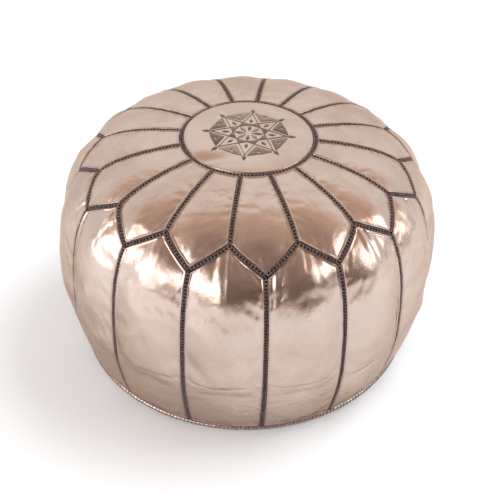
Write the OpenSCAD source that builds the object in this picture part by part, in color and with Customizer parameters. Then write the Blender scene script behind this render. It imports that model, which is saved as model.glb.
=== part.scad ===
// Round leather floor pouf: a medallion, a crown of petals, a drum of side panels that are
// offset by half a petal, a two-part base closed by a zip, and the stuffing in its cloth bag.
// The seat faces +Z, the origin is the middle of the base, and angles run from -Y towards +X.

/* [Pouf] */
// Widest diameter over the puffed side panels
diameter = 530; // [440:5:600]
// Height of the middle of the seat
height = 320; // [260:5:380]
// Radius of the round medallion's seam
medallion_r = 91; // [70:1:120]
// Angle of the first crown seam
first_seam = -6.2; // [-11:0.1:11]
// How much lower the right side of the crown lies, per millimetre across
lean_x = 0.0144; // [0:0.0002:0.05]
// How much lower the back of the crown lies, per millimetre across
lean_y = 0.0092; // [0:0.0002:0.05]
// How far the crown has shifted to the right of the base
drift = 5; // [0:0.5:12]

/* [Leather] */
// Thickness of the leather
leather = 2; // [1.2:0.1:3]
// Width of a stitched seam band
seam_w = 6; // [4:0.5:9]
// How far a seam band stands out from the leather's edge
seam_proud = 1.2; // [0.4:0.1:2]
// How far a petal of the crown puffs out
crown_puff = 4; // [2:0.5:12]
// How far a side panel puffs out below the zigzag seam
side_puff = 7; // [2:0.5:10]
// How far a side panel puffs out at the waist
waist_puff = 3; // [1:0.5:6]
// Radius of the welt that closes the base
welt_r = 4; // [3:0.5:6]

/* [Zip] */
// Length of the opening that the zip closes
zip_len = 312; // [200:4:340]
// Half the gap between the two leather edges at the zip
zip_gap = 6.5; // [6.5:0.5:9]
// How high the zip's recess lies above the floor
recess = 13; // [13:0.5:16]
// Distance from one tooth to the next on one side
tooth_pitch = 4; // [3:0.5:6]
// Length of the pull tab from its pin
pull_len = 26; // [18:1:28]
// Angle that the parked pull tab hangs below the chain
pull_droop = 18; // [12:1:18]

/* [Hidden] */
PETALS = 16;
STEP = 360 / PETALS;
function numbered(name, k) = str(name, "_", k < 9 ? "0" : "", k + 1);
PIECES = [
    "top_medallion", "star_embroidery", "base_half_front", "base_half_back",
    "medallion_seam", "crown_seams", "zigzag_seam", "side_seams", "base_seam", "base_centre_seams",
    "zip_tape_front", "zip_tape_back", "zip_teeth_front", "zip_teeth_back", "zip_slider", "zip_pull",
    "zip_top_stops", "zip_bottom_stop", "zip_stitching", "stuffing_bag", "stuffing"
];

bronze = [0.83, 0.72, 0.66];
bronze_dark = [0.72, 0.60, 0.54];
thread = [0.27, 0.20, 0.19];
calico = [0.90, 0.86, 0.78];
brass = [0.78, 0.63, 0.36];

// The outline from the middle of the seat over the shoulder to the foot, as two cubic curves.
waist_r = diameter / 2 - waist_puff;
waist_z = 0.35 * height;
foot_r = 0.906 * diameter / 2;
TOP = [[0, height], [0.41 * diameter, height], [waist_r, 0.945 * height], [waist_r, waist_z]];
FOOT = [[waist_r, waist_z], [waist_r, 0.225 * height], [0.94 * diameter / 2, 0.085 * height], [foot_r, 0]];
// Places along the outline: 0 is the middle of the seat, 1 the waist and 2 the foot.
q_medallion = 0.159 * medallion_r / 91;
q_inner = 0.473;
q_outer = 0.595;
q_hem = 1.905;

function curve(c, t) = c[0] * pow(1 - t, 3) + 3 * c[1] * t * pow(1 - t, 2)
    + 3 * c[2] * t * t * (1 - t) + c[3] * pow(t, 3);
function slope(c, t) = 3 * ((c[1] - c[0]) * pow(1 - t, 2)
    + 2 * (c[2] - c[1]) * t * (1 - t) + (c[3] - c[2]) * t * t);
function outline(q) = q <= 1 ? curve(TOP, q) : curve(FOOT, q - 1);
function along(q) = q <= 1 ? slope(TOP, q) : slope(FOOT, q - 1);
function outward(q) = let (s = along(q)) [-s[1], s[0]] / norm(s);
// The crown leans and has shifted a little, as a stuffed pouf does. The foot stays flat.
function settle(p) = [
    p[0] + drift * (p[2] - waist_z) / height,
    p[1],
    p[2] - (lean_x * p[0] + lean_y * p[1]) * p[2] / height
];
// A point at place q and angle a, lifted off the seam surface.
function skin(q, a, lift) = let (p = outline(q) + lift * outward(q))
    settle([p[0] * sin(a), -p[0] * cos(a), p[1]]);

function mix(a, b, t) = a + (b - a) * t;
function clamp01(t) = min(1, max(0, t));
function ease(t) = 0.5 + 0.5 * cos(180 * clamp01(t));

// Crown seams are hand-spaced: they spread on the right and close up towards the back.
function regular(k) = first_seam + STEP * k;
function crown_a(k) = regular(k) + 2.2 * sin(regular(k)) - 0.8 * (1 - cos(regular(k)));
function side_a(k) = (crown_a(k) + crown_a(k + 1)) / 2;
// Half-steps along the zigzag: even ones are its inner corners, odd ones its outer corners.
function corner_a(h) = h % 2 == 0 ? crown_a(h / 2) : side_a((h - 1) / 2);
function corner_q(h) = h % 2 == 0 ? q_inner : q_outer;

// Half the seam's width as an angle at place q, and as a place on the slanting zigzag.
function inset_a(q) = seam_w / 2 / outline(q)[0] * 180 / PI;
inset_q = 1.28 * seam_w / 2 / norm(along((q_inner + q_outer) / 2));
inset_q_top = seam_w / 2 / norm(along(q_medallion));

// Closed slab between two grids of points, top and bottom, as rows of points.
// A looped slab joins its last row to its first.
module slab(top, bottom, looped = false) {
    rows = len(top);
    cols = len(top[0]);
    spans = looped ? rows - 1 : rows - 2;
    end = cols - 1;
    function at(i, j, side) = side * rows * cols + (i % rows) * cols + j;
    function quad(a, b, c, d) = [[a, b, c], [a, c, d]];
    faces = concat(
        [for (i = [0:spans], j = [0:cols - 2])
            each quad(at(i, j, 0), at(i + 1, j, 0), at(i + 1, j + 1, 0), at(i, j + 1, 0))],
        [for (i = [0:spans], j = [0:cols - 2])
            each quad(at(i, j, 1), at(i, j + 1, 1), at(i + 1, j + 1, 1), at(i + 1, j, 1))],
        [for (i = [0:spans])
            each quad(at(i, 0, 0), at(i, 0, 1), at(i + 1, 0, 1), at(i + 1, 0, 0))],
        [for (i = [0:spans])
            each quad(at(i, end, 0), at(i + 1, end, 0), at(i + 1, end, 1), at(i, end, 1))],
        looped ? [] : [for (j = [0:cols - 2])
            each quad(at(0, j, 0), at(0, j + 1, 0), at(0, j + 1, 1), at(0, j, 1))],
        looped ? [] : [for (j = [0:cols - 2])
            each quad(at(rows - 1, j, 0), at(rows - 1, j, 1), at(rows - 1, j + 1, 1), at(rows - 1, j + 1, 0))]
    );
    polyhedron([for (r = top) each r, for (r = bottom) each r], faces);
}

// Closed solid from rings of points, with a fan over the first ring and over the last.
module ringed(rings) {
    n = len(rings[0]);
    last = len(rings) - 1;
    middles = [for (r = [rings[0], rings[last]]) [for (p = r) 1] * r / n];
    middle_first = (last + 1) * n;
    polyhedron(
        [for (r = rings) each r, each middles],
        concat(
            [for (i = [0:n - 1]) [middle_first, (i + 1) % n, i]],
            [for (i = [0:n - 1]) [middle_first + 1, last * n + i, last * n + (i + 1) % n]],
            [for (k = [0:last - 1], i = [0:n - 1]) let (j = (i + 1) % n)
                each [[k * n + i, k * n + j, (k + 1) * n + j], [k * n + i, (k + 1) * n + j, (k + 1) * n + i]]]
        )
    );
}

// Panels

PANEL_COLS = 8;
CROWN_ROWS = 6;
SIDE_ROWS = 10;

// Edge of the crown at fraction s of the way across a petal, which is a point in its middle.
function petal_end(s) = mix(q_outer, q_inner, abs(2 * s - 1)) - inset_q;
function petal_point(k, u, s, drop) = let (
    q = mix(q_medallion + inset_q_top, petal_end(s), u),
    middle = side_a(k),
    half = (crown_a(k + 1) - crown_a(k)) / 2 - inset_a(q),
    puff = crown_puff * (1 - pow(2 * s - 1, 2)) * sin(180 * pow(u, 1.4))
) skin(q, middle + half * (2 * s - 1), puff - drop);

module crown_panel(k) {
    rows = [for (d = [0, leather]) [for (i = [0:CROWN_ROWS])
        [for (j = [0:PANEL_COLS]) petal_point(k, i / CROWN_ROWS, j / PANEL_COLS, d)]]];
    color(bronze) slab(rows[0], rows[1]);
}

// A side panel peaks between two petals, so its top edge follows the zigzag the other way.
function side_start(s) = mix(q_inner, q_outer, abs(2 * s - 1)) + inset_q;
function side_point(k, v, s, drop) = let (
    q = mix(side_start(s), q_hem, v),
    left = side_a(k - 1) + inset_a(q),
    right = side_a(k) - inset_a(q),
    a = s < 0.5 ? mix(left, crown_a(k), 2 * s) : mix(crown_a(k), right, 2 * s - 1),
    puff = (1 - pow(2 * s - 1, 2)) * mix(side_puff, waist_puff, clamp01(2 * v)) * sin(180 * pow(v, 0.5))
) skin(q, a, puff - drop);

module side_panel(k) {
    rows = [for (d = [0, leather]) [for (i = [0:SIDE_ROWS])
        [for (j = [0:PANEL_COLS]) side_point(k, i / SIDE_ROWS, j / PANEL_COLS, d)]]];
    color(bronze) slab(rows[0], rows[1]);
}

MEDALLION_SIDES = 48;
q_medallion_edge = q_medallion - inset_q_top;

module top_medallion() {
    places = [for (i = [1:4]) q_medallion_edge * i / 4];
    rings = concat(
        [for (q = places) [for (j = [1:MEDALLION_SIDES]) skin(q, -360 * j / MEDALLION_SIDES, 0)]],
        [for (i = [3:-1:0]) [for (j = [1:MEDALLION_SIDES])
            skin(places[i], -360 * j / MEDALLION_SIDES, -leather)]]
    );
    color(bronze_dark) ringed(rings);
}

// Eight kites that stand on the medallion as a star.
STAR_POINTS = 8;
star_q = 0.69 * q_medallion;
star_proud = 0.8;

module star_embroidery() {
    for (k = [0:STAR_POINTS - 1]) {
        a = first_seam + k * 360 / STAR_POINTS;
        spine = [for (u = [0.14, 0.3, 0.55, 0.78, 1]) u * star_q];
        reach = [0.6, 7, 11, 4, 0.4];
        rows = [for (lift = [star_proud, 0.02]) [for (i = [0:4])
            [for (side = [-1, 0, 1]) skin(spine[i], a + side * reach[i], lift)]]];
        color(thread) slab(rows[0], rows[1]);
    }
}

// Seams: bands that fill the gaps between panels, a little proud of the leather.

// Band between two edges given as places or angles, along a list of [q, a, dq, da] stations.
module band(stations, looped = false) {
    rows = [for (lift = [seam_proud, -leather]) [for (s = stations)
        [for (side = [-1, 1]) skin(s[0] + side * s[2], s[1] + side * s[3], lift)]]];
    color(thread) slab(rows[0], rows[1], looped);
}

module medallion_seam() {
    count = 96;
    band([for (i = [0:count - 1]) [q_medallion, -360 * i / count, inset_q_top, 0]], looped = true);
}

module crown_seams() {
    steps = 8;
    start = q_medallion + inset_q_top;
    end = q_inner - inset_q;
    for (k = [0:PETALS - 1])
        band([for (i = [0:steps]) let (q = mix(start, end, i / steps)) [q, crown_a(k), 0, inset_a(q)]]);
}

module zigzag_seam() {
    steps = 3;
    band([for (h = [2 * PETALS:-1:1], i = [0:steps - 1]) let (t = i / steps) [
        mix(corner_q(h), corner_q(h - 1), t),
        mix(corner_a(h), corner_a(h - 1), t),
        inset_q,
        0
    ]], looped = true);
}

module side_seams() {
    steps = 14;
    for (k = [0:PETALS - 1])
        band([for (i = [0:steps]) let (q = mix(q_outer + inset_q, q_hem, i / steps))
            [q, side_a(k), 0, inset_a(q)]]);
}

base_x = -drift * waist_z / height;

module base_seam() {
    color(thread) translate([base_x, 0, welt_r])
        rotate_extrude($fn = 128) translate([foot_r, 0]) circle(r = welt_r, $fn = 24);
}

// Base: two half discs with a shallow recess along X for the zip.

base_r = foot_r - welt_r - 0.3;
recess_flat = 20;
recess_fall = 26;
recess_end = 40;
BASE_COLS = 22;
BASE_ROWS = 9;

function floor_z(x, y) = recess * ease((abs(y) - recess_flat) / recess_fall)
    * ease((abs(x) - zip_len / 2 - 12) / recess_end);
function base_point(x, y, lift) = [base_x + x, y, floor_z(x, y) + lift];

// side is -1 for the front half and 1 for the back half
module base_half(side) {
    edge = 5;
    rows = [for (lift = [leather, 0]) [for (i = [0:BASE_COLS]) let (
        a = mix(180 - edge, edge, i / BASE_COLS),
        x = side * base_r * cos(a),
        reach = base_r * sin(a)
    ) [for (j = [0:BASE_ROWS]) base_point(x, side * mix(zip_gap, reach, pow(j / BASE_ROWS, 1.5)), lift)]]];
    color(bronze_dark) slab(rows[0], rows[1]);
}

module base_half_front() { base_half(-1); }
module base_half_back() { base_half(1); }

// Short stitched seams that close the base beyond the ends of the zip.
module base_centre_seams() {
    half = zip_gap - 0.2;
    start = zip_len / 2 + 12;
    for (side = [-1, 1]) {
        rows = [for (lift = [leather, 0]) [for (i = [0:8]) let (x = side * mix(start, base_r - 1, i / 8))
            [for (y = [-half, 0, half]) base_point(x, side * y, lift)]]];
        color(thread) slab(rows[0], rows[1]);
    }
}

// Zip: tapes sewn inside the leather's edges, a chain of teeth, stops, slider and pull.

tape_t = 0.8;
zip_z = recess + leather + tape_t / 2 + 0.1;
tape_outer = 16;
tooth_reach = 3.4;
tooth_mesh = 1;
tooth_len = 1.7;
tooth_h = 4.4;
chain_end = zip_len / 2 - 12;
teeth = floor((2 * chain_end - tooth_pitch) / tooth_pitch);

module at_zip() { translate([base_x, 0, zip_z]) children(); }
module block(low, high) { translate(low) cube(high - low); }

module zip_tape(side) {
    near = side > 0 ? tooth_reach + 0.02 : -tape_outer;
    far = side > 0 ? tape_outer : -tooth_reach - 0.02;
    color(thread) at_zip()
        block([-zip_len / 2 - 8, near, -tape_t / 2], [zip_len / 2 + 8, far, tape_t / 2]);
}

module zip_tape_front() { zip_tape(-1); }
module zip_tape_back() { zip_tape(1); }

module zip_teeth(side) {
    near = side > 0 ? -tooth_mesh : -tooth_reach;
    far = side > 0 ? tooth_reach : tooth_mesh;
    first = -chain_end + (side > 0 ? tooth_pitch / 2 : 0);
    color(brass) at_zip()
        for (i = [0:teeth - 1])
            translate([first + i * tooth_pitch, 0, 0])
                block([0, near, -tooth_h / 2], [tooth_len, far, tooth_h / 2]);
}

module zip_teeth_front() { zip_teeth(-1); }
module zip_teeth_back() { zip_teeth(1); }

slider_x = chain_end + 4;
slider_half = 6;
slider_tail = 4.6;
slider_shoulder = 6;
plate_in = 3;
plate_t = 1.6;
pivot_x = 0.5;
pivot_z = -6;
bail_bore = 0.9;

module slider_outline() {
    polygon([
        [-slider_half, -slider_tail], [1, -slider_tail], [slider_half, -slider_shoulder],
        [slider_half, slider_shoulder], [1, slider_tail], [-slider_half, slider_tail]
    ]);
}

module slider_plate(low, high) {
    translate([0, 0, low]) linear_extrude(high - low) slider_outline();
}

module slider_flanges(low, high) {
    translate([0, 0, low]) linear_extrude(high - low) difference() {
        slider_outline();
        offset(delta = -0.9) slider_outline();
        translate([-slider_half - 1, -slider_tail + 0.9]) square([3, 2 * slider_tail - 1.8]);
        translate([slider_half - 2, -slider_shoulder + 0.9]) square([3, 2 * slider_shoulder - 1.8]);
    }
}

module zip_slider() {
    color(brass) translate([slider_x, 0, 0]) at_zip() {
        slider_plate(-plate_in - plate_t, -plate_in);
        slider_plate(plate_in, plate_in + plate_t);
        slider_flanges(-plate_in, -1.4);
        slider_flanges(1.4, plate_in);
        translate([0, 0, -plate_in]) linear_extrude(2 * plate_in)
            polygon([[2, 0], [3.5, -1.3], [5.6, 0], [3.5, 1.3]]);
        difference() {
            block([-2.2, -1, -plate_in - plate_t - 3.2], [3.2, 1, -plate_in - plate_t]);
            translate([pivot_x, 0, pivot_z])
                rotate([90, 0, 0]) cylinder(r = bail_bore, h = 4, center = true, $fn = 32);
        }
    }
}

module zip_pull() {
    arm_in = 1.4;
    arm_out = 2.6;
    tab_start = 6.8;
    tab_half = 4;
    color(brass) translate([slider_x + pivot_x, 0, pivot_z]) at_zip() rotate([0, -pull_droop, 0]) {
        rotate([90, 0, 0]) cylinder(r = bail_bore - 0.2, h = 2 * arm_out, center = true, $fn = 32);
        for (side = [-1, 1]) {
            translate([0, side * (arm_in + arm_out) / 2, 0])
                rotate([90, 0, 0]) cylinder(r = 1, h = arm_out - arm_in, center = true, $fn = 32);
            near = side > 0 ? arm_in : -arm_out;
            block([-tab_start - 1, near, -0.6], [0, near + arm_out - arm_in, 0.6]);
        }
        translate([-pull_len + tab_half, 0, -0.7]) linear_extrude(1.4) {
            translate([0, -tab_half]) square([pull_len - tab_half - tab_start, 2 * tab_half]);
            circle(r = tab_half, $fn = 48);
        }
    }
}

module zip_top_stops() {
    start = slider_x + slider_half + 0.6;
    color(brass) at_zip() {
        block([start, 0.8, -tooth_h / 2], [start + 4, tooth_reach, tooth_h / 2]);
        block([start, -tooth_reach, -tooth_h / 2], [start + 4, -0.8, tooth_h / 2]);
    }
}

module zip_bottom_stop() {
    color(brass) at_zip()
        block([-chain_end - 6, -tooth_reach, -tooth_h / 2], [-chain_end - 1, tooth_reach, tooth_h / 2]);
}

// Two rows of thread that hold each tape to the leather.
module zip_stitching() {
    reach = zip_len / 2 - 10;
    color(thread) at_zip()
        for (y = [-11.5, -8.5, 8.5, 11.5])
            block([-reach, y - 0.4, -zip_z + recess - 0.5], [reach, y + 0.4, -zip_z + recess]);
}

// Filling: a cloth bag with its mouth over the zip, and the stuffing inside it.

LOAF_SIDES = 40;
mouth_r = 40;
stuffing_lift = 8;
bag_gap = 1.5;
bag_t = 1;
PLACES = [0.06, 0.2, 0.34, 0.46, 0.58, 0.72, 0.88, 1.1, 1.35, 1.6, 1.84];

// Rings of a loaf that lies inside the leather: down the outline, then in across the base.
function loaf_ring_side(q, drop) = [for (j = [1:LOAF_SIDES]) skin(q, -360 * j / LOAF_SIDES, -drop)];
function loaf_ring_base(r, lift) = [for (j = [1:LOAF_SIDES]) let (a = -360 * j / LOAF_SIDES)
    base_point(r * sin(a), -r * cos(a), lift)];
function loaf(drop, lift) = concat(
    [for (q = PLACES) loaf_ring_side(q, drop)],
    [for (f = [0.93, 0.72, 0.5, 0.32]) loaf_ring_base(f * base_r, lift)],
    [loaf_ring_base(mouth_r, lift)]
);
function reversed(rings) = [for (i = [len(rings) - 1:-1:0]) rings[i]];

// Over the recess the bag keeps above the slider.
bag_lift = leather + 8;

module stuffing_bag() {
    outer = loaf(leather + bag_gap, bag_lift);
    inner = loaf(leather + bag_gap + bag_t, bag_lift + bag_t);
    color(calico) ringed(concat(outer, reversed(inner)));
}

module stuffing() {
    lift = bag_lift + bag_t + stuffing_lift;
    color("white") ringed(concat(
        loaf(leather + 2 * bag_gap + bag_t, lift),
        [loaf_ring_base(mouth_r / 2, lift), loaf_ring_base(mouth_r / 8, lift)]
    ));
}

top_medallion();
star_embroidery();
base_half_front();
base_half_back();
medallion_seam();
crown_seams();
zigzag_seam();
side_seams();
base_seam();
base_centre_seams();
zip_tape_front();
zip_tape_back();
zip_teeth_front();
zip_teeth_back();
zip_slider();
zip_pull();
zip_top_stops();
zip_bottom_stop();
zip_stitching();
stuffing_bag();
stuffing();
for (k = [0:PETALS - 1]) crown_panel(k);
for (k = [0:PETALS - 1]) side_panel(k);
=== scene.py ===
"""A stuffed leather pouf: puffed foil-leather panels, hand-stitched seams, a star on the seat, a zipped base.

Lengths are in metres, in the CAD model's frame: +Z up, -Y towards the viewer, angles from -Y towards +X.
"""
import math

import bpy
import numpy as np
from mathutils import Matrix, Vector
from mathutils.geometry import delaunay_2d_cdt


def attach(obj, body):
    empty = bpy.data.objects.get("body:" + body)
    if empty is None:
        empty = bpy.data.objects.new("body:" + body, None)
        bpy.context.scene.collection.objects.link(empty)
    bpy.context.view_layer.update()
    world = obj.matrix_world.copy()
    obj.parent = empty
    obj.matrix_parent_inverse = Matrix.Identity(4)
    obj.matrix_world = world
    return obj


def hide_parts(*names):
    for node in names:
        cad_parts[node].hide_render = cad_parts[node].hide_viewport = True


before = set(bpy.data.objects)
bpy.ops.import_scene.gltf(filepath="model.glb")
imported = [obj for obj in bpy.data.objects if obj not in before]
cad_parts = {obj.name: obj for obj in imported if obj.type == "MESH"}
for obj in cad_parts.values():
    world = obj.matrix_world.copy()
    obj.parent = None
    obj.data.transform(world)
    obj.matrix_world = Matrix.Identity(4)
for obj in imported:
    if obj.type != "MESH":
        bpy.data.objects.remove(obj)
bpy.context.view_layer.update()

MM = 0.001
TAU = 2 * math.pi

# ---------------------------------------------------------------- driving dimensions, as in the CAD

PETALS = 16
DIAMETER = 530 * MM
HEIGHT = 320 * MM
MEDALLION_R = 91 * MM
FIRST_SEAM = -6.2
LEAN_X = 0.0144
LEAN_Y = 0.0092
DRIFT = 5 * MM
LEATHER = 1.6 * MM
SEAM_W = 6 * MM
CROWN_PUFF = 4 * MM
SIDE_PUFF = 10.5 * MM
WAIST_PUFF = 3 * MM

WAIST_R = DIAMETER / 2 - WAIST_PUFF
WAIST_Z = 0.35 * HEIGHT
FOOT_R = 0.906 * DIAMETER / 2
TOP_CURVE = [(0, HEIGHT), (0.41 * DIAMETER, HEIGHT), (WAIST_R, 0.945 * HEIGHT), (WAIST_R, WAIST_Z)]
FOOT_CURVE = [(WAIST_R, WAIST_Z), (WAIST_R, 0.225 * HEIGHT), (0.47 * DIAMETER, 0.085 * HEIGHT), (FOOT_R, 0)]
Q_MEDALLION = 0.159
Q_INNER = 0.473
Q_OUTER = 0.595
Q_HEM = 1.905
ZIGZAG_SLANT = 1.28

RECESS = 13 * MM
RECESS_FLAT = 20 * MM
RECESS_FALL = 26 * MM
RECESS_END = 40 * MM
ZIP_GAP = 6.5 * MM
ZIP_LEN = 312 * MM
WELT_R = 4 * MM

# ---------------------------------------------------------------- the outline and the seams


def bezier(curve, t):
    a, b, c, d = [np.array(p) for p in curve]
    t = np.asarray(t, float)[..., None]
    return a * (1 - t) ** 3 + 3 * b * t * (1 - t) ** 2 + 3 * c * t**2 * (1 - t) + d * t**3


def bezier_slope(curve, t):
    a, b, c, d = [np.array(p) for p in curve]
    t = np.asarray(t, float)[..., None]
    return 3 * ((b - a) * (1 - t) ** 2 + 2 * (c - b) * t * (1 - t) + (d - c) * t**2)


def outline(q):
    """(radius, height) at place q: 0 is the middle of the seat, 1 the waist and 2 the foot."""
    q = np.asarray(q, float)
    return np.where(q[..., None] <= 1, bezier(TOP_CURVE, q), bezier(FOOT_CURVE, q - 1))


def along(q):
    q = np.asarray(q, float)
    return np.where(q[..., None] <= 1, bezier_slope(TOP_CURVE, q), bezier_slope(FOOT_CURVE, q - 1))


def settle(x, y, z):
    """The crown leans and has shifted a little; the foot stays flat."""
    return np.stack([x + DRIFT * (z - WAIST_Z) / HEIGHT, y, z - (LEAN_X * x + LEAN_Y * y) * z / HEIGHT], -1)


def skin(q, a, lift=0.0):
    """The point at place q and angle a in degrees, lifted off the seam surface."""
    s = along(q)
    n = np.stack([-s[..., 1], s[..., 0]], -1) / np.linalg.norm(s, axis=-1, keepdims=True)
    p = outline(q) + np.asarray(lift, float)[..., None] * n
    t = np.radians(a)
    return settle(p[..., 0] * np.sin(t), -p[..., 0] * np.cos(t), p[..., 1])


def skin_normal(q, a):
    s = along(q)
    n = np.stack([-s[..., 1], s[..., 0]], -1) / np.linalg.norm(s, axis=-1, keepdims=True)
    t = np.radians(a)
    return np.stack([n[..., 0] * np.sin(t), -n[..., 0] * np.cos(t), n[..., 1] + 0 * t], -1)


def crown_a(k):
    regular = FIRST_SEAM + 360 / PETALS * k
    turn = math.radians(regular)
    return regular + 2.2 * math.sin(turn) - 0.8 * (1 - math.cos(turn))


def side_a(k):
    return (crown_a(k) + crown_a(k + 1)) / 2


def mix(a, b, t):
    return a + (b - a) * t


def inset_a(q, width):
    return np.degrees(width / outline(q)[..., 0])


ZIGZAG_SPEED = float(np.linalg.norm(along((Q_INNER + Q_OUTER) / 2)))
MEDALLION_SPEED = float(np.linalg.norm(along(Q_MEDALLION)))

# The leather's edge tucks just under the seam band's edge.
EDGE = SEAM_W / 2 - 0.55 * MM
EDGE_Q = ZIGZAG_SLANT * (EDGE - 0.45 * MM) / ZIGZAG_SPEED
EDGE_Q_TOP = EDGE / MEDALLION_SPEED


def petal_place(k, u, s):
    """Place and angle in crown petal k, u from the medallion outwards and s across."""
    end = mix(Q_OUTER, Q_INNER, np.abs(2 * s - 1)) - EDGE_Q
    q = mix(Q_MEDALLION + EDGE_Q_TOP, end, u)
    half = (crown_a(k + 1) - crown_a(k)) / 2 - inset_a(q, EDGE)
    return q, side_a(k) + half * (2 * s - 1)


def side_place(k, v, s):
    """Place and angle in side panel k, v from its pointed top down and s across."""
    start = mix(Q_INNER, Q_OUTER, np.abs(2 * s - 1)) + EDGE_Q
    q = mix(start, Q_HEM, v)
    left = side_a(k - 1) + inset_a(q, EDGE)
    right = side_a(k) - inset_a(q, EDGE)
    peak = crown_a(k)
    return q, np.where(s < 0.5, mix(left, peak, 2 * s), mix(peak, right, 2 * s - 1))


# ---------------------------------------------------------------- noise


def lattice_noise(p, size, seed):
    """Smooth noise from -1 to 1 whose features are about size across."""
    table = np.random.default_rng(seed).uniform(-1, 1, 4096)
    g = p / size
    cell = np.floor(g).astype(np.int64)
    f = g - cell
    f = f * f * (3 - 2 * f)
    out = np.zeros(p.shape[:-1])
    for dx in (0, 1):
        for dy in (0, 1):
            for dz in (0, 1):
                c = cell + (dx, dy, dz)
                h = (c[..., 0] * 73856093 ^ c[..., 1] * 19349663 ^ c[..., 2] * 83492791) & 4095
                w = np.where(dx, f[..., 0], 1 - f[..., 0]) * np.where(dy, f[..., 1], 1 - f[..., 1])
                out += table[h] * w * np.where(dz, f[..., 2], 1 - f[..., 2])
    return out


def gathers(t, wave, rng):
    """Soft ridges with narrower valleys along t, of uneven size and spacing."""
    phase = rng.uniform(0, TAU, 5)
    t = t + 0.4 * wave * np.sin(TAU * t / (3.1 * wave) + phase[0])
    ridges = np.abs(np.sin(math.pi * t / wave + phase[1])) ** 1.3 - 0.57
    patches = 0.5 + 0.5 * np.sin(TAU * t / (2.3 * wave) + phase[4])
    fine = np.sin(TAU * t / (0.43 * wave) + phase[2]) * patches
    swell = 0.55 + 0.45 * np.sin(TAU * t / (4.7 * wave) + phase[3])
    return (ridges + 0.12 * fine) * swell


# ---------------------------------------------------------------- materials


def new_material(name):
    m = bpy.data.materials.new(name)
    m.use_nodes = True
    nodes = m.node_tree.nodes
    return m, nodes, nodes["Principled BSDF"]


def fill(n, inputs):
    """Sets a node's inputs: a socket is linked, and anything else is a plain value."""
    for key, value in inputs.items():
        if isinstance(value, bpy.types.NodeSocket):
            n.id_data.links.new(value, n.inputs[key])
        else:
            n.inputs[key].default_value = value
    return n


def node(nodes, kind, inputs=None, **settings):
    n = nodes.new("ShaderNode" + kind)
    for key, value in settings.items():
        setattr(n, key, value)
    return fill(n, inputs or {})


def object_place(nodes):
    return node(nodes, "TexCoord").outputs["Object"]


def colour_ramp(nodes, fac, stops):
    ramp = node(nodes, "ValToRGB", {"Fac": fac})
    elements = ramp.color_ramp.elements
    while len(elements) < len(stops):
        elements.new(0.5)
    for element, (place, colour) in zip(elements, stops):
        element.position = place
        element.color = (*colour, 1)
    return ramp.outputs["Color"]


def noise(nodes, place, scale, detail, roughness=0.5, distortion=0.0, output="Fac"):
    values = {"Scale": scale, "Detail": detail, "Roughness": roughness, "Distortion": distortion}
    return node(nodes, "TexNoise", {"Vector": place, **values}).outputs[output]


def remap(nodes, value, low, high, to_low=0.0, to_high=1.0):
    values = {"From Min": low, "From Max": high, "To Min": to_low, "To Max": to_high}
    return node(nodes, "MapRange", {"Value": value, **values}).outputs["Result"]


def maths(nodes, operation, a, b):
    return node(nodes, "Math", {0: a, 1: b}, operation=operation).outputs[0]


def colour_mix(nodes, amount, a, b, blend_type="MIX"):
    return node(nodes, "Mix", {0: amount, 6: a, 7: b}, data_type="RGBA", blend_type=blend_type).outputs[2]


def bump(nodes, height, strength, distance, under=None):
    values = {"Strength": strength, "Distance": distance, "Height": height}
    if under is not None:
        values["Normal"] = under
    return node(nodes, "Bump", values).outputs["Normal"]


def leather_material(name, pale, deep, rough, metallic, worn):
    """Foil on goatskin: cloudy tone, fine grain, a web of hairline creases, and rubbed seam edges."""
    m, nodes, shader = new_material(name)
    place = object_place(nodes)
    bright = [min(1, c * 1.05) for c in pale]
    cloud = noise(nodes, place, 14.0, 5.0, 0.6, 0.6)
    tone = colour_ramp(nodes, cloud, [(0.32, deep), (0.55, pale), (0.8, bright)])

    sway = noise(nodes, place, 60.0, 2.0, output="Color")
    bent = node(nodes, "Mix", {0: 0.05, 4: place, 5: sway}, data_type="VECTOR").outputs[1]
    web = node(nodes, "TexVoronoi", {"Vector": bent, "Scale": 210.0}, feature="DISTANCE_TO_EDGE")
    crease = remap(nodes, web.outputs["Distance"], 0.0, 0.06)
    smooth = remap(nodes, noise(nodes, place, 22.0, 2.0), 0.45, 0.7, 1.0, 0.0)
    creased = maths(nodes, "MAXIMUM", crease, smooth)
    faint = maths(nodes, "MULTIPLY", maths(nodes, "SUBTRACT", 1.0, creased), 0.2)
    lined = colour_mix(nodes, faint, tone, (*[c * 0.8 for c in deep], 1))

    rub = node(nodes, "Attribute", attribute_name="seam_rub").outputs["Fac"]
    specks = noise(nodes, place, 420.0, 3.0, 0.7)
    haze = noise(nodes, place, 45.0, 6.0, 0.65)

    grain = node(nodes, "TexVoronoi", {"Vector": place, "Scale": 900.0, "Randomness": 1.0}, feature="SMOOTH_F1")
    low = bump(nodes, noise(nodes, place, 160.0, 4.0, 0.6), 0.24, 0.8 * MM)
    mid = bump(nodes, creased, 0.12, 0.3 * MM, low)
    fill(shader, {
        "Base Color": colour_mix(nodes, maths(nodes, "MULTIPLY", rub, specks), lined, (*worn, 1)),
        "Roughness": remap(nodes, haze, 0.3, 0.75, *rough),
        "Normal": bump(nodes, grain.outputs["Distance"], 0.2, 0.25 * MM, mid),
        "Metallic": metallic,
        "Specular Tint": (0.78, 0.68, 0.60, 1),
    })
    return m


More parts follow.
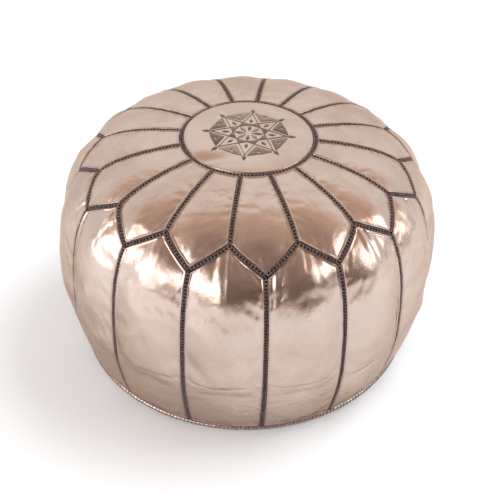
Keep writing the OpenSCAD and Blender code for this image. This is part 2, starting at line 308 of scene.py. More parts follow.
def thread_material(name, dark, light, rough, twist=1500.0):
    """Waxed thread: fine diagonal twist, uneven dye, and a soft sheen."""
    m, nodes, shader = new_material(name)
    place = object_place(nodes)
    values = {"Vector": place, "Scale": twist, "Distortion": 1.5, "Detail": 1.0}
    plies = node(nodes, "TexWave", values, wave_type="BANDS", bands_direction="DIAGONAL").outputs["Fac"]
    fill(shader, {
        "Base Color": colour_ramp(nodes, noise(nodes, place, 260.0, 3.0), [(0.35, dark), (0.7, light)]),
        "Normal": bump(nodes, plies, 0.5, 0.15 * MM),
        "Roughness": remap(nodes, plies, 0.0, 1.0, rough - 0.1, rough + 0.15),
        "Sheen Weight": 0.15,
    })
    return m


def cloth_material(name, dark, light, pitch):
    """Plain weave of that thread pitch."""
    m, nodes, shader = new_material(name)
    place = object_place(nodes)
    values = {"Vector": place, "Scale": 0.5 / pitch, "Distortion": 0.4}
    warp, weft = [node(nodes, "TexWave", values, bands_direction=way).outputs["Fac"] for way in ("X", "Y")]
    weave = maths(nodes, "MULTIPLY", warp, weft)
    dust = noise(nodes, place, 70.0, 4.0)
    fill(shader, {
        "Base Color": colour_ramp(nodes, maths(nodes, "MULTIPLY", weave, dust), [(0.0, dark), (0.5, light)]),
        "Normal": bump(nodes, weave, 0.6, 0.3 * MM),
        "Roughness": remap(nodes, dust, 0.0, 1.0, 0.75, 0.95),
    })
    return m


def brass_material(name, dull, bright):
    """Aged brass: brown tarnish in patches, brighter where it rubs, and fine scratches."""
    m, nodes, shader = new_material(name)
    place = object_place(nodes)
    tarnish = noise(nodes, place, 180.0, 6.0, 0.65)
    stretched = node(nodes, "Mapping", {"Vector": place, "Scale": (300.0, 2500.0, 2500.0)}).outputs["Vector"]
    fill(shader, {
        "Base Color": colour_ramp(nodes, tarnish, [(0.35, dull), (0.65, bright)]),
        "Roughness": remap(nodes, tarnish, 0.3, 0.7, 0.45, 0.22),
        "Normal": bump(nodes, noise(nodes, stretched, 1.0, 3.0), 0.15, 0.1 * MM),
        "Metallic": 1.0,
    })
    return m


WORN_FOIL = (0.30, 0.21, 0.18)
FOIL = leather_material("foil_leather", (0.57, 0.465, 0.41), (0.50, 0.39, 0.335), (0.2, 0.32), 1.0, WORN_FOIL)
TOOLED = leather_material("tooled_leather", (0.59, 0.48, 0.425), (0.53, 0.42, 0.36), (0.26, 0.36), 1.0, WORN_FOIL)
BASE_SKIN = leather_material(
    "base_leather", (0.34, 0.22, 0.17), (0.22, 0.14, 0.10), (0.45, 0.62), 0.0, (0.12, 0.07, 0.05)
)
SEAM_THREAD = thread_material("seam_thread", (0.075, 0.047, 0.045), (0.22, 0.15, 0.145), 0.38)
SEAM_GROUND = cloth_material("seam_ground", (0.012, 0.008, 0.007), (0.035, 0.022, 0.02), 0.6 * MM)
# One thread in three tones: the darker and lighter copies are painted sheen, standing for satin stitches that catch
# the light or not; the darkest also colours the outlines and points.
STAR_SHADED_SHEEN = thread_material("star_thread_shaded_sheen", (0.08, 0.05, 0.04), (0.14, 0.09, 0.07), 0.45, 900.0)
STAR_HALF_SHEEN = thread_material("star_thread_half_sheen", (0.13, 0.093, 0.074), (0.21, 0.155, 0.125), 0.6, 900.0)
STAR_LIT_SHEEN = thread_material("star_thread_lit_sheen", (0.19, 0.138, 0.11), (0.30, 0.222, 0.178), 0.6, 900.0)
ZIP_CLOTH = cloth_material("zip_cloth", (0.03, 0.02, 0.017), (0.12, 0.08, 0.065), 0.5 * MM)
BRASS = brass_material("zip_brass", (0.30, 0.20, 0.09), (0.72, 0.54, 0.26))
CALICO = cloth_material("calico", (0.45, 0.40, 0.31), (0.80, 0.75, 0.64), 0.8 * MM)
FIBRE = cloth_material("stuffing", (0.60, 0.58, 0.54), (0.85, 0.84, 0.80), 3.0 * MM)

# ---------------------------------------------------------------- mesh helpers


def mesh_object(name, points, faces, materials, face_materials=None, rub=None):
    mesh = bpy.data.meshes.new(name)
    mesh.from_pydata(np.asarray(points).reshape(-1, 3).tolist(), [], [[int(i) for i in face] for face in faces])
    for m in materials:
        mesh.materials.append(m)
    if face_materials is not None:
        mesh.polygons.foreach_set("material_index", np.asarray(face_materials, np.int32))
    mesh.polygons.foreach_set("use_smooth", np.ones(len(mesh.polygons), bool))
    if rub is not None:
        layer = mesh.attributes.new("seam_rub", "FLOAT", "POINT")
        layer.data.foreach_set("value", np.asarray(rub, np.float32).ravel())
    obj = bpy.data.objects.new(name, mesh)
    bpy.context.scene.collection.objects.link(obj)
    return obj


def grid_faces(rows, cols, start=0):
    i, j = np.meshgrid(np.arange(rows - 1), np.arange(cols - 1), indexing="ij")
    a = start + (i * cols + j).ravel()
    return np.stack([a, a + cols, a + cols + 1, a + 1], -1)


def shell_faces(rows, cols):
    """A closed slab between two grids of the same size: the outer one first."""
    n = rows * cols
    outer = grid_faces(rows, cols)
    inner = grid_faces(rows, cols, n)[:, ::-1]
    rim = np.concatenate([
        np.arange(cols),
        np.arange(1, rows) * cols + cols - 1,
        (rows - 1) * cols + np.arange(cols - 2, -1, -1),
        np.arange(rows - 2, 0, -1) * cols,
    ])
    step = np.roll(rim, -1)
    wall = np.stack([rim, step, step + n, rim + n], -1)
    return np.concatenate([outer, inner, wall])


def tube_faces(rows, size, closed=False):
    """Faces round a tube of rings, with flat ends unless it closes on itself."""
    faces = []
    for i in range(rows if closed else rows - 1):
        a, c = i * size, (i + 1) % rows * size
        faces += [(a + j, a + (j + 1) % size, c + (j + 1) % size, c + j) for j in range(size)]
    if not closed:
        faces.append(tuple(range(size - 1, -1, -1)))
        faces.append(tuple((rows - 1) * size + j for j in range(size)))
    return faces


def unit(v):
    return v / np.linalg.norm(v, axis=-1, keepdims=True)


def grid_normals(p):
    return unit(np.cross(np.gradient(p, axis=0), np.gradient(p, axis=1)))


def spline_matrix(count, t):
    """Weights of a natural cubic spline through count even knots, at places t from 0 to 1."""
    x = np.asarray(t) * (count - 1)
    i = np.minimum(x.astype(int), count - 2)
    f = x - i
    inner = np.arange(1, count - 1)
    system = np.eye(count)
    right = np.zeros((count, count))
    for step, weight, pull in ((-1, 1, 6), (0, 4, -12), (1, 1, 6)):
        system[inner, inner + step] = weight
        right[inner, inner + step] = pull
    bend = np.linalg.solve(system, right)
    w = np.zeros((len(x), count))
    rows = np.arange(len(x))
    w[rows, i] += 1 - f
    w[rows, i + 1] += f
    g = 1 - f
    return w + ((g**3 - g) / 6)[:, None] * bend[i] + ((f**3 - f) / 6)[:, None] * bend[i + 1]


def crowded(count):
    """Places from 0 to 1 that crowd towards both ends."""
    x = np.linspace(0, 1, count)
    return mix(x, 0.5 - 0.5 * np.cos(math.pi * x), 0.75)


# ---------------------------------------------------------------- panels, blown up as cloth

PETAL_COARSE = (24, 15)
SIDE_COARSE = (48, 19)
PETAL_FINE = (96, 64)
SIDE_FINE = (176, 76)
SIM_FRAMES = 22
SHOULDER_END = 0.48  # places down a side panel, from 0 at its point to 1 at the foot
WAIST_START = 0.12


class Panel:
    """One piece of the cover: its name, its place function, and its coarse grid of points."""

    def __init__(self, name, place, k, coarse, fine, crown):
        self.name, self.place, self.k, self.crown = name, place, k, crown
        self.coarse, self.fine = coarse, fine
        u, s = np.meshgrid(np.linspace(0, 1, coarse[0]), np.linspace(0, 1, coarse[1]), indexing="ij")
        self.u, self.s = u, s
        self.q, self.a = place(k, u, s)
        self.flat = skin(self.q, self.a)
        self.normal = skin_normal(self.q, self.a)
        across = 1 - (2 * s - 1) ** 2
        if crown:
            self.puff = CROWN_PUFF * across * np.sin(math.pi * u**1.4)
        else:
            shoulder = np.sin(math.pi * np.clip(u / SHOULDER_END, 0, 1))
            waist = np.sin(math.pi * np.clip((u - WAIST_START) / (1 - WAIST_START), 0, 1) ** 0.8)
            self.puff = across * (SIDE_PUFF * shoulder + WAIST_PUFF * waist * (1 - 0.8 * shoulder))
        self.points = self.flat + self.puff[..., None] * self.normal


def all_panels():
    panels = []
    for k in range(PETALS):
        panels.append(Panel(f"crown_panel_{k + 1:02d}", petal_place, k, PETAL_COARSE, PETAL_FINE, True))
        panels.append(Panel(f"side_panel_{k + 1:02d}", side_place, k, SIDE_COARSE, SIDE_FINE, False))
    return panels


def blow_up(panels):
    """Cloth simulation of every panel at once, held along its seams and pushed out by the stuffing."""
    points, faces, held = [], [], []
    start = 0
    for p in panels:
        rows, cols = p.coarse
        jitter = lattice_noise(p.flat, 14 * MM, 40 + p.k) * 0.5 * MM
        seed = p.flat + (0.55 * p.puff + jitter * (p.puff > 1e-6))[..., None] * p.normal
        points.append(seed.reshape(-1, 3))
        faces.append(grid_faces(rows, cols, start))
        border = np.zeros((rows, cols), bool)
        border[[0, -1], :] = True
        border[:, [0, -1]] = True
        held.append(start + np.flatnonzero(border.ravel()))
        start += rows * cols
    obj = mesh_object("cover_sim", np.concatenate(points), np.concatenate(faces), [])
    group = obj.vertex_groups.new(name="held")
    group.add(np.concatenate(held).tolist(), 1.0, "REPLACE")
    cloth = obj.modifiers.new("Cloth", "CLOTH")
    settings = cloth.settings
    settings.quality = 6
    settings.mass = 0.35
    settings.air_damping = 4
    settings.tension_stiffness = 30
    settings.compression_stiffness = 30
    settings.shear_stiffness = 12
    settings.bending_stiffness = 0.6
    settings.vertex_group_mass = "held"
    settings.shrink_min = -0.022
    settings.use_pressure = True
    settings.uniform_pressure_force = 5
    settings.effector_weights.gravity = 0
    cloth.collision_settings.use_collision = False
    cloth.collision_settings.use_self_collision = False
    cloth.point_cache.frame_start = 1
    cloth.point_cache.frame_end = SIM_FRAMES
    scene = bpy.context.scene
    for f in range(1, SIM_FRAMES + 1):
        scene.frame_set(f)
    shaped = obj.evaluated_get(bpy.context.evaluated_depsgraph_get()).to_mesh()
    out = np.empty(len(shaped.vertices) * 3)
    shaped.vertices.foreach_get("co", out)
    scene.frame_set(1)
    bpy.data.objects.remove(obj)
    out = out.reshape(-1, 3)
    start = 0
    for p in panels:
        rows, cols = p.coarse
        moved = out[start : start + rows * cols].reshape(rows, cols, 3) - p.flat
        start += rows * cols
        rise = (moved * p.normal).sum(-1, keepdims=True)
        slide = moved - rise * p.normal
        reach = np.linalg.norm(slide, axis=-1, keepdims=True)
        slide *= np.minimum(1, 5 * MM / np.maximum(reach, 1e-9))
        rise *= np.clip(p.puff.mean() / max(rise.mean(), 0.1 * MM), 0.4, 2.0)
        rise = mix(p.puff[..., None], rise, 0.3 if p.crown else 0.35)
        p.points = p.flat + slide + np.clip(rise, -1 * MM, 13 * MM) * p.normal


def folds(x, y, width, length, rng, count, band):
    """Long soft creases across a side panel, as a depth at each point."""
    depth = np.zeros_like(x)
    for _ in range(count):
        cx = rng.uniform(0.25, 0.75) * width
        cy = rng.uniform(*band) * length
        turn = rng.normal(0, 0.16)
        size = rng.uniform(18, 42) * MM
        bow = rng.uniform(-0.006, 0.006) / MM * 0.12
        dx, dy = x - cx, y - cy
        t = dx * math.cos(turn) + dy * math.sin(turn)
        d = dy * math.cos(turn) - dx * math.sin(turn) - bow * t**2
        deep = rng.uniform(0.18, 0.42) * MM
        wide = rng.uniform(1.3, 2.4) * MM
        fade = np.exp(-((t / size) ** 4))
        bank = 0.6 * np.exp(-(((d + 1.6 * wide) / (1.5 * wide)) ** 2))
        depth += fade * deep * (bank - np.exp(-((d / wide) ** 2)))
    return depth


def finish_panel(p):
    """The panel's fine mesh: rolled edges, gathers along the seams, folds and dimples."""
    rng = np.random.default_rng(700 + p.k + (100 if p.crown else 0))
    rows, cols = p.fine
    u, s = crowded(rows), crowded(cols)
    to_u = spline_matrix(p.coarse[0], u)
    to_s = spline_matrix(p.coarse[1], s)
    base = np.einsum("ri,ijc,sj->rsc", to_u, p.points, to_s)
    normal = grid_normals(base)
    if (normal * np.einsum("ri,ijc,sj->rsc", to_u, p.normal, to_s)).sum() < 0:
        normal = -normal
    u, s = np.meshgrid(u, s, indexing="ij")

    step_s = np.linalg.norm(np.diff(base, axis=1), axis=-1)
    step_u = np.linalg.norm(np.diff(base, axis=0), axis=-1)
    x = np.concatenate([np.zeros((rows, 1)), np.cumsum(step_s, 1)], 1)
    y = np.concatenate([np.zeros((1, cols)), np.cumsum(step_u, 0)], 0)
    width, length = x[:, -1:], y[-1:, :]
    slant = 1 / ZIGZAG_SLANT
    left, right = x, width - x
    near, far = (y, (length - y) * slant) if p.crown else (y * slant, length - y)
    edge = np.minimum(np.minimum(left, right), np.minimum(near, far))

    pinch, pinch_wide = 1.7 * MM, 0.55 * MM
    roll, roll_place, roll_wide = 1.0 * MM, 1.6 * MM, 1.3 * MM
    lift = -pinch * np.exp(-((edge / pinch_wide) ** 2)) + roll * np.exp(-(((edge - roll_place) / roll_wide) ** 2))

    def puckers(d, t, height, reach, wave):
        grow = 1 - np.exp(-((d / (2.0 * MM)) ** 2))
        lean = t + 0.25 * d * np.sin(TAU * t / (5 * wave) + rng.uniform(0, TAU))
        return height * grow * np.exp(-d / reach) * gathers(lean, wave, rng)

    if p.crown:
        lift += puckers(far, x, 0.45 * MM, 12 * MM, 16 * MM)
        lift += puckers(near, x, 0.25 * MM, 9 * MM, 9 * MM)
        for side in (left, right):
            lift += puckers(side, y, 0.45 * MM, 13 * MM, 17 * MM)
    else:
        lift += puckers(near, x, 2.4 * MM, 24 * MM, 23 * MM)
        for side in (left, right):
            lift += puckers(side, y, 0.5 * MM, 12 * MM, 19 * MM)
        lift += puckers(far, x, 0.5 * MM, 12 * MM, 15 * MM)
        lift += folds(x, y, float(width.mean()), float(length.mean()), rng, 7, (0.45, 0.92))

    middle = 1 - np.exp(-((edge / (9 * MM)) ** 2))
    seed = 11 if p.crown else 23
    lift += middle * (0.6 if p.crown else 0.9) * MM * lattice_noise(base, 46 * MM, seed)
    lift += middle * (0.14 if p.crown else 0.25) * MM * lattice_noise(base, 17 * MM, seed + 1)
    lift += middle * 0.07 * MM * lattice_noise(base, 6 * MM, seed + 2)
    drawn = np.stack([x / 5, y + 0.4 * x, 0 * x + p.k], -1)
    lift += middle * (0.13 if p.crown else 0.07) * MM * lattice_noise(drawn, 6 * MM, seed + 3)
    outer = base + lift[..., None] * normal
    inner = base - (LEATHER - 0.2 * MM * middle)[..., None] * normal
    inner = np.where((lift < 0)[..., None], outer - LEATHER * normal, inner)
    rub = np.exp(-((edge / (3.5 * MM)) ** 2))
    faces = shell_faces(rows, cols)
    if (np.cross(outer[1, 0] - outer[0, 0], outer[0, 1] - outer[0, 0]) * normal[0, 0]).sum() < 0:
        faces = faces[:, ::-1]
    obj = mesh_object(
        p.name + "_cover", np.concatenate([outer.reshape(-1, 3), inner.reshape(-1, 3)]), faces, [FOIL],
        rub=np.tile(rub.ravel(), 2),
    )
    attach(obj, "pouf")
    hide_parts(p.name)


# ---------------------------------------------------------------- seams


def capsule(rings=6, sides=8):
    """A rounded rod of unit length along X and unit radius, as points and faces."""
    turn = np.linspace(0, math.pi, rings + 2)[1:-1]
    around = np.arange(sides) * TAU / sides
    x = -0.5 * np.sign(np.cos(turn)) * np.abs(np.cos(turn)) ** 0.75
    r = np.sin(turn) ** 0.6
    body = np.stack([
        np.repeat(x, sides),
        np.outer(r, np.cos(around)).ravel(),
        np.outer(r, np.sin(around)).ravel(),
    ], -1)
    points = np.concatenate([[[-0.5, 0, 0]], body, [[0.5, 0, 0]]])
    last = len(points) - 1
    faces = []
    for j in range(sides):
        n = (j + 1) % sides
        faces.append((0, 1 + n, 1 + j))
        for i in range(rings - 1):
            a = 1 + i * sides
            faces.append((a + j, a + n, a + sides + n, a + sides + j))
        a = 1 + (rings - 1) * sides
        faces.append((a + j, a + n, last))
    return points, faces


CAPSULE_POINTS, CAPSULE_FACES = capsule()


def rods(centres, along_axis, side_axis, up_axis, length, thick, height):
    """Rounded stitches at the centres, each turned to its own axes."""
    p = CAPSULE_POINTS
    length = np.broadcast_to(length, len(centres))[:, None, None]
    return (
        centres[:, None]
        + p[None, :, :1] * length * along_axis[:, None]
        + p[None, :, 1:2] * thick * side_axis[:, None]
        + p[None, :, 2:] * height * up_axis[:, None]
    )


def join(parts):
    """Points, faces and material numbers of several (points, faces, material) parts."""
    points, faces, kinds = [], [], []
    start = 0
    for p, f, kind in parts:
        p = np.asarray(p).reshape(-1, 3)
        points.append(p)
        faces += [tuple(v + start for v in face) for face in f]
        kinds += [kind] * len(f)
        start += len(p)
    return np.concatenate(points), faces, kinds


def many(stitches, kind):
    """Every stitch of an (n, points, 3) array as one part."""
    count, size = stitches.shape[:2]
    faces = [tuple(v + i * size for v in face) for i in range(count) for face in CAPSULE_FACES]
    return stitches.reshape(-1, 3), faces, kind


class Path:
    """A seam's middle line with its own axes, resampled to even steps."""

    def __init__(self, points, normals, step, closed=False):
        if closed:
            points = np.concatenate([points, points[:1]])
            normals = np.concatenate([normals, normals[:1]])
        run = np.concatenate([[0], np.cumsum(np.linalg.norm(np.diff(points, axis=0), axis=-1))])
        count = max(2, round(run[-1] / step))
        at = (np.arange(count) + 0.5) * run[-1] / count
        self.step = run[-1] / count
        self.closed = closed

        def sample(places, values):
            return np.stack([np.interp(places, run, values[:, i]) for i in range(3)], -1)

        self.points = sample(at, points)
        n = sample(at, normals)
        ahead = sample(np.minimum(at + 0.5 * self.step, run[-1]), points)
        self.t = unit(ahead - sample(at - 0.5 * self.step, points))
        n -= (n * self.t).sum(-1, keepdims=True) * self.t
        self.n = unit(n)
        self.b = np.cross(self.n, self.t)
        self.ends = points[[0, -1]]


def band_part(path, half, lifts, depth):
    """The ground under the stitches: a closed strip with a low crown."""
    across = np.linspace(-1, 1, len(lifts))
    p, n, b = path.points, path.n, path.b
    if not path.closed:
        p = np.concatenate([path.ends[:1], p, path.ends[1:]])
        n = np.concatenate([n[:1], n, n[-1:]])
        b = np.concatenate([b[:1], b, b[-1:]])
    flat = p[:, None] + (across * half)[None, :, None] * b[:, None]
    top = flat + np.array(lifts)[None, :, None] * n[:, None]
    under = flat - depth * n[:, None]
    ring = np.concatenate([top, under[:, ::-1]], 1)
    return ring.reshape(-1, 3), tube_faces(*ring.shape[:2], path.closed), 0


LADDER = 4.7 * MM
BAR = (0.95 * MM, 0.7 * MM)  # width and height of a stitch across the seam
STRAND = (0.62 * MM, 0.55 * MM)  # and of one along its side


def ladder_parts(path, rng):
    """Hand stitches: a bar across at every step and a slanted strand along each side."""
    count = len(path.points)
    half = 2.15 * MM
    sway = rng.normal(0, 0.10, count)[:, None]
    bar = unit(path.b + sway * path.t)
    centre = path.points + rng.normal(0, 0.12 * MM, (count, 1)) * path.t + 0.25 * MM * path.n
    bars = rods(centre, bar, np.cross(path.n, bar), path.n, 2 * half + 1.3 * MM, *BAR)
    parts = [many(bars, 1)]
    for side in (-1, 1):
        tilt = side * 0.16 + rng.normal(0, 0.04, count)[:, None]
        strand = unit(path.t + tilt * path.b)
        centre = path.points + side * half * path.b + 0.5 * path.step * path.t + 0.15 * MM * path.n
        parts.append(many(rods(centre, strand, np.cross(path.n, strand), path.n, path.step + 1.1 * MM, *STRAND), 1))
    return parts


def seam_piece(name, cad_node, paths, seed, half=SEAM_W / 2):
    rng = np.random.default_rng(seed)
    parts = []
    lifts = np.array([-1.0, -0.45, -0.2, -0.45, -1.0]) * MM
    for points, normals, closed in paths:
        parts.append(band_part(Path(points, normals, 1.6 * MM, closed), half, lifts, 1.9 * MM))
        parts += ladder_parts(Path(points, normals, LADDER, closed), rng)
    points, faces, kinds = join(parts)
    obj = mesh_object(name, points, faces, [SEAM_GROUND, SEAM_THREAD], kinds)
    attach(obj, "pouf")
    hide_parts(cad_node)


SEAM_SINK = -0.4 * MM


def line(q, a, closed=False):
    """A seam's points and normals at places q and angles a, and whether it closes on itself."""
    q, a = np.broadcast_arrays(np.asarray(q, float), np.asarray(a, float))
    return skin(q, a, SEAM_SINK + 0 * q), skin_normal(q, a), closed


def cover_seams():
    turn = np.linspace(0, 360, 241)[:-1]
    seam_piece("medallion_stitching", "medallion_seam", [line(Q_MEDALLION, turn, True)], 1)
    clear_top = Q_MEDALLION + 2.4 * MM / MEDALLION_SPEED
    clear_zigzag = 3.0 * MM / ZIGZAG_SPEED
    crown = [line(np.linspace(clear_top, Q_INNER - clear_zigzag, 60), crown_a(k)) for k in range(PETALS)]
    seam_piece("crown_stitching", "crown_seams", crown, 2)
    zigzag = []
    for k in range(PETALS):
        t = np.linspace(0, 1, 24)
        zigzag.append(line(mix(Q_INNER, Q_OUTER, t), mix(crown_a(k), side_a(k), t)))
        zigzag.append(line(mix(Q_OUTER, Q_INNER, t), mix(side_a(k), crown_a(k + 1), t)))
    seam_piece("zigzag_stitching", "zigzag_seam", zigzag, 3)
    sides = [line(np.linspace(Q_OUTER + clear_zigzag, Q_HEM + 0.02, 120), side_a(k)) for k in range(PETALS)]
    seam_piece("side_stitching", "side_seams", sides, 4, half=2.8 * MM)


# ---------------------------------------------------------------- medallion and star


def medallion_lift(p):
    """The seat rolls down to its rim, is slightly uneven and has a dent at its front left."""
    r = np.linalg.norm(p[..., :2], axis=-1)
    inside_rim = np.clip(MEDALLION_R - r, 0, None)
    away = np.clip(inside_rim / (12 * MM), 0, 1)
    lift = 3.6 * MM * (1 - np.exp(-inside_rim / (9 * MM))) + 0.8 * MM * (1 - (r / MEDALLION_R) ** 2)
    lift += away * MM * (0.5 * lattice_noise(p, 40 * MM, 5) + 0.12 * lattice_noise(p, 13 * MM, 6))
    dent_x = (p[..., 0] + 50 * MM) / (30 * MM)
    dent_y = (p[..., 1] + 60 * MM) / (14 * MM)
    return lift - 5.2 * MM * np.exp(-(dent_x**2) - dent_y**2)


R_TABLE_Q = np.linspace(0, 0.25, 400)
R_TABLE = outline(R_TABLE_Q)[:, 0]


def on_medallion(x, y, lift=0.0):
    """A point of the seat over plan position (x, y) before the crown's lean."""
    q = np.interp(np.hypot(x, y), R_TABLE, R_TABLE_Q)
    a = np.degrees(np.arctan2(x, -y))
    p = skin(q, a)
    return skin(q, a, medallion_lift(p) + lift)


def medallion():
    rng = np.random.default_rng(8)
    rings, sides = 70, 288
    t = np.linspace(0, 1, rings + 1)[1:]
    t = mix(t, 1 - (1 - t) ** 2, 0.45)
    rim = (Q_MEDALLION - EDGE_Q_TOP) * t
    a = np.arange(sides) * 360 / sides
    q, a = np.meshgrid(rim, a, indexing="ij")
    flat = skin(q, a)
    edge = (Q_MEDALLION - EDGE_Q_TOP - q) * MEDALLION_SPEED
    lift = medallion_lift(flat)
    around = np.radians(a) * MEDALLION_R
    near = np.exp(-edge / (8 * MM)) * (1 - np.exp(-((edge / (2 * MM)) ** 2)))
    lift += 0.35 * MM * near * gathers(around, 8 * MM, rng)
    lift -= 1.7 * MM * np.exp(-((edge / (0.55 * MM)) ** 2))
    lift += 0.7 * MM * np.exp(-(((edge - 1.7 * MM) / (1.3 * MM)) ** 2))
    outer = skin(q, a, lift)
    inner = skin(q, a, np.minimum(lift, 0) - LEATHER)
    middle = on_medallion(np.zeros(1), np.zeros(1))
    count = rings * sides
    points = np.concatenate([outer.reshape(-1, 3), inner.reshape(-1, 3), middle, middle - (0, 0, LEATHER)])
    j = np.arange(sides)
    n = (j + 1) % sides
    faces = []
    for i in range(rings - 1):
        a0, a1 = i * sides, (i + 1) * sides
        faces += np.stack([a0 + j, a1 + j, a1 + n, a0 + n], -1).tolist()
        faces += np.stack([count + a0 + n, count + a1 + n, count + a1 + j, count + a0 + j], -1).tolist()
    last = (rings - 1) * sides
    faces += np.stack([last + j, count + last + j, count + last + n, last + n], -1).tolist()
    faces += np.stack([np.full(sides, 2 * count), j, n], -1).tolist()
    faces += np.stack([np.full(sides, 2 * count + 1), count + n, count + j], -1).tolist()
    rub = np.exp(-((edge / (3 * MM)) ** 2)).ravel()
    obj = mesh_object("medallion_cover", points, faces, [TOOLED], rub=np.concatenate([rub, rub, [0, 0]]))
    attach(obj, "pouf")
    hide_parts("top_medallion")


STAR_R = 51.5 * MM
STAR_TURN = math.radians(FIRST_SEAM)
EIGHTH = TAU / 8


def star_point(r, step):
    """Plan position at radius r and step eighths of a turn round the star."""
    a = STAR_TURN + step * EIGHTH
    return np.array([r * math.sin(a), -r * math.cos(a)])


def patch(outline_points, cell, hole=None):
    """The plan outline filled with triangles, its edge cut to steps of cell: points and faces."""
    loops = [np.array(outline_points)] + ([np.array(hole)] if hole is not None else [])
    verts, edges = [], []
    for loop in loops:
        dense = []
        for a, b in zip(loop, np.roll(loop, -1, 0)):
            n = max(1, int(np.linalg.norm(b - a) / cell))
            dense += [a + (b - a) * i / n for i in range(n)]
        start = len(verts)
        verts += dense
        edges += [(start + i, start + (i + 1) % len(dense)) for i in range(len(dense))]
    out_v, _, out_f, *_ = delaunay_2d_cdt([Vector(v) for v in verts], edges, [], 1, 1e-7)
    v = np.array([tuple(p) for p in out_v])
    keep = []
    for f in out_f:
        c = v[list(f)].mean(0)
        if inside(c, loops[0]) and not (len(loops) > 1 and inside(c, loops[1])):
            keep.append(f)
    return v, keep


def inside(p, loop):
    hit = False
    for a, b in zip(loop, np.roll(loop, -1, 0)):
        if (a[1] > p[1]) != (b[1] > p[1]):
            if p[0] < a[0] + (p[1] - a[1]) * (b[0] - a[0]) / (b[1] - a[1]):
                hit = not hit
    return hit


STAR_PROUD = 0.55 * MM


def raised(v, faces):
    """Lifts a flat patch onto the seat as a closed, low pad."""
    top = on_medallion(v[:, 0], v[:, 1], STAR_PROUD)
    low = on_medallion(v[:, 0], v[:, 1], -0.3 * MM)
    n = len(v)
    edges = {edge: None for f in faces for edge in zip(f, f[1:] + f[:1])}
    rim = [(a, b) for a, b in edges if (b, a) not in edges]
    out = [tuple(f) for f in faces]
    out += [tuple(n + i for i in reversed(f)) for f in faces]
    out += [(b, a, a + n, b + n) for a, b in rim]
    return np.concatenate([top, low]), out


def kite(r_in, r_out, step, half, r_wide=None):
    """The four corners of a diamond along a spoke of the star, widest at r_wide."""
    wide = star_point((r_in + r_out) / 2 if r_wide is None else r_wide, step)
    side = star_point(1.0, step + 2) * half
    return [star_point(r_out, step), wide + side, star_point(r_in, step), wide - side]


def beside(k, side, gap):
    """Where the line beside the star's outer edge from point k meets the ring round the fields."""
    tip, notch = star_point(STAR_R, k), star_point(0.541 * STAR_R, k + 0.5 * side)
    run = (tip - notch) / np.linalg.norm(tip - notch)
    out = np.array([-run[1], run[0]])
    out *= np.sign(np.dot(out, star_point(1.0, k + 0.5 * side) - star_point(1.0, k)))
    start = notch + gap * out
    b = np.dot(start, run)
    return start + run * (math.sqrt(b * b - np.dot(start, start) + (1.045 * STAR_R) ** 2) - b)


def star():
    """An eight-pointed interlaced star with filled fields, in raised thread; the fields' three tones are painted
    sheen.
    """
    parts = []

    def field(points, kind, hole=None):
        v, f = patch(points, 1.6 * MM, hole)
        p, faces = raised(v, [tuple(x) for x in f])
        parts.append((p, faces, kind))

    # Which tone each field gets is painted sheen, shaded or lit, not a different thread.
    painted_sheen_tones = [1, 1, 0, 2, 2, 1, 0, 2]
    for k in range(8):
        field(kite(STAR_R, 1.24 * STAR_R, k, 2.9 * MM), 0)
        field(kite(0.51 * STAR_R, 0.71 * STAR_R, k, 2.4 * MM), 0)
        field(kite(0.09 * STAR_R, 0.38 * STAR_R, k, 2.9 * MM, 0.25 * STAR_R), 0 if k % 4 == 0 else 1 + k % 2)
        first, last = beside(k, 1, 3.5 * MM), beside(k + 1, -1, 3.5 * MM)
        bow = [mix(first, last, t) for t in np.linspace(0, 1, 7)]
        bow = [p * (1 + 0.025 * math.sin(math.pi * i / 6)) for i, p in enumerate(bow)]
        spark = []
        for i in range(8):
            size = (4.0, 1.25)[i % 2] * MM
            a = STAR_TURN + (k + 0.5) * EIGHTH + i * TAU / 8
            spark.append(star_point(0.91 * STAR_R, k + 0.5) + size * np.array([math.sin(a), -math.cos(a)]))
        field([star_point(0.66 * STAR_R, k + 0.5), *bow], painted_sheen_tones[k], spark)
        inner = [star_point(0.41 * STAR_R, k + 0.1), star_point(0.41 * STAR_R, k + 0.9)]
        field([star_point(0.51 * STAR_R, k + 0.5), *inner], 0 if k in (2, 6) else 1)
        a, b = star_point(STAR_R, k), star_point(STAR_R, k + 3)
        across = (b - a) / np.linalg.norm(b - a)
        across = np.array([-across[1], across[0]]) * 0.4 * MM
        field([a + across, b + across, b - across, a - across], 0)
    points, faces, kinds = join(parts)
    obj = mesh_object("star_stitching", points, faces, [STAR_SHADED_SHEEN, STAR_HALF_SHEEN, STAR_LIT_SHEEN], kinds)
    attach(obj, "pouf")
    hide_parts("star_embroidery")


# ---------------------------------------------------------------- base


BASE_X = -DRIFT * WAIST_Z / HEIGHT
BASE_R = FOOT_R - 2.4 * MM


def ease(t):
    return 0.5 + 0.5 * np.cos(math.pi * np.clip(t, 0, 1))


def floor_z(x, y):
    """Height of the base over the floor: a shallow recess along X for the zip."""
    across = ease((np.abs(y) - RECESS_FLAT) / RECESS_FALL)
    return RECESS * across * ease((np.abs(x) - ZIP_LEN / 2 - 12 * MM) / RECESS_END)


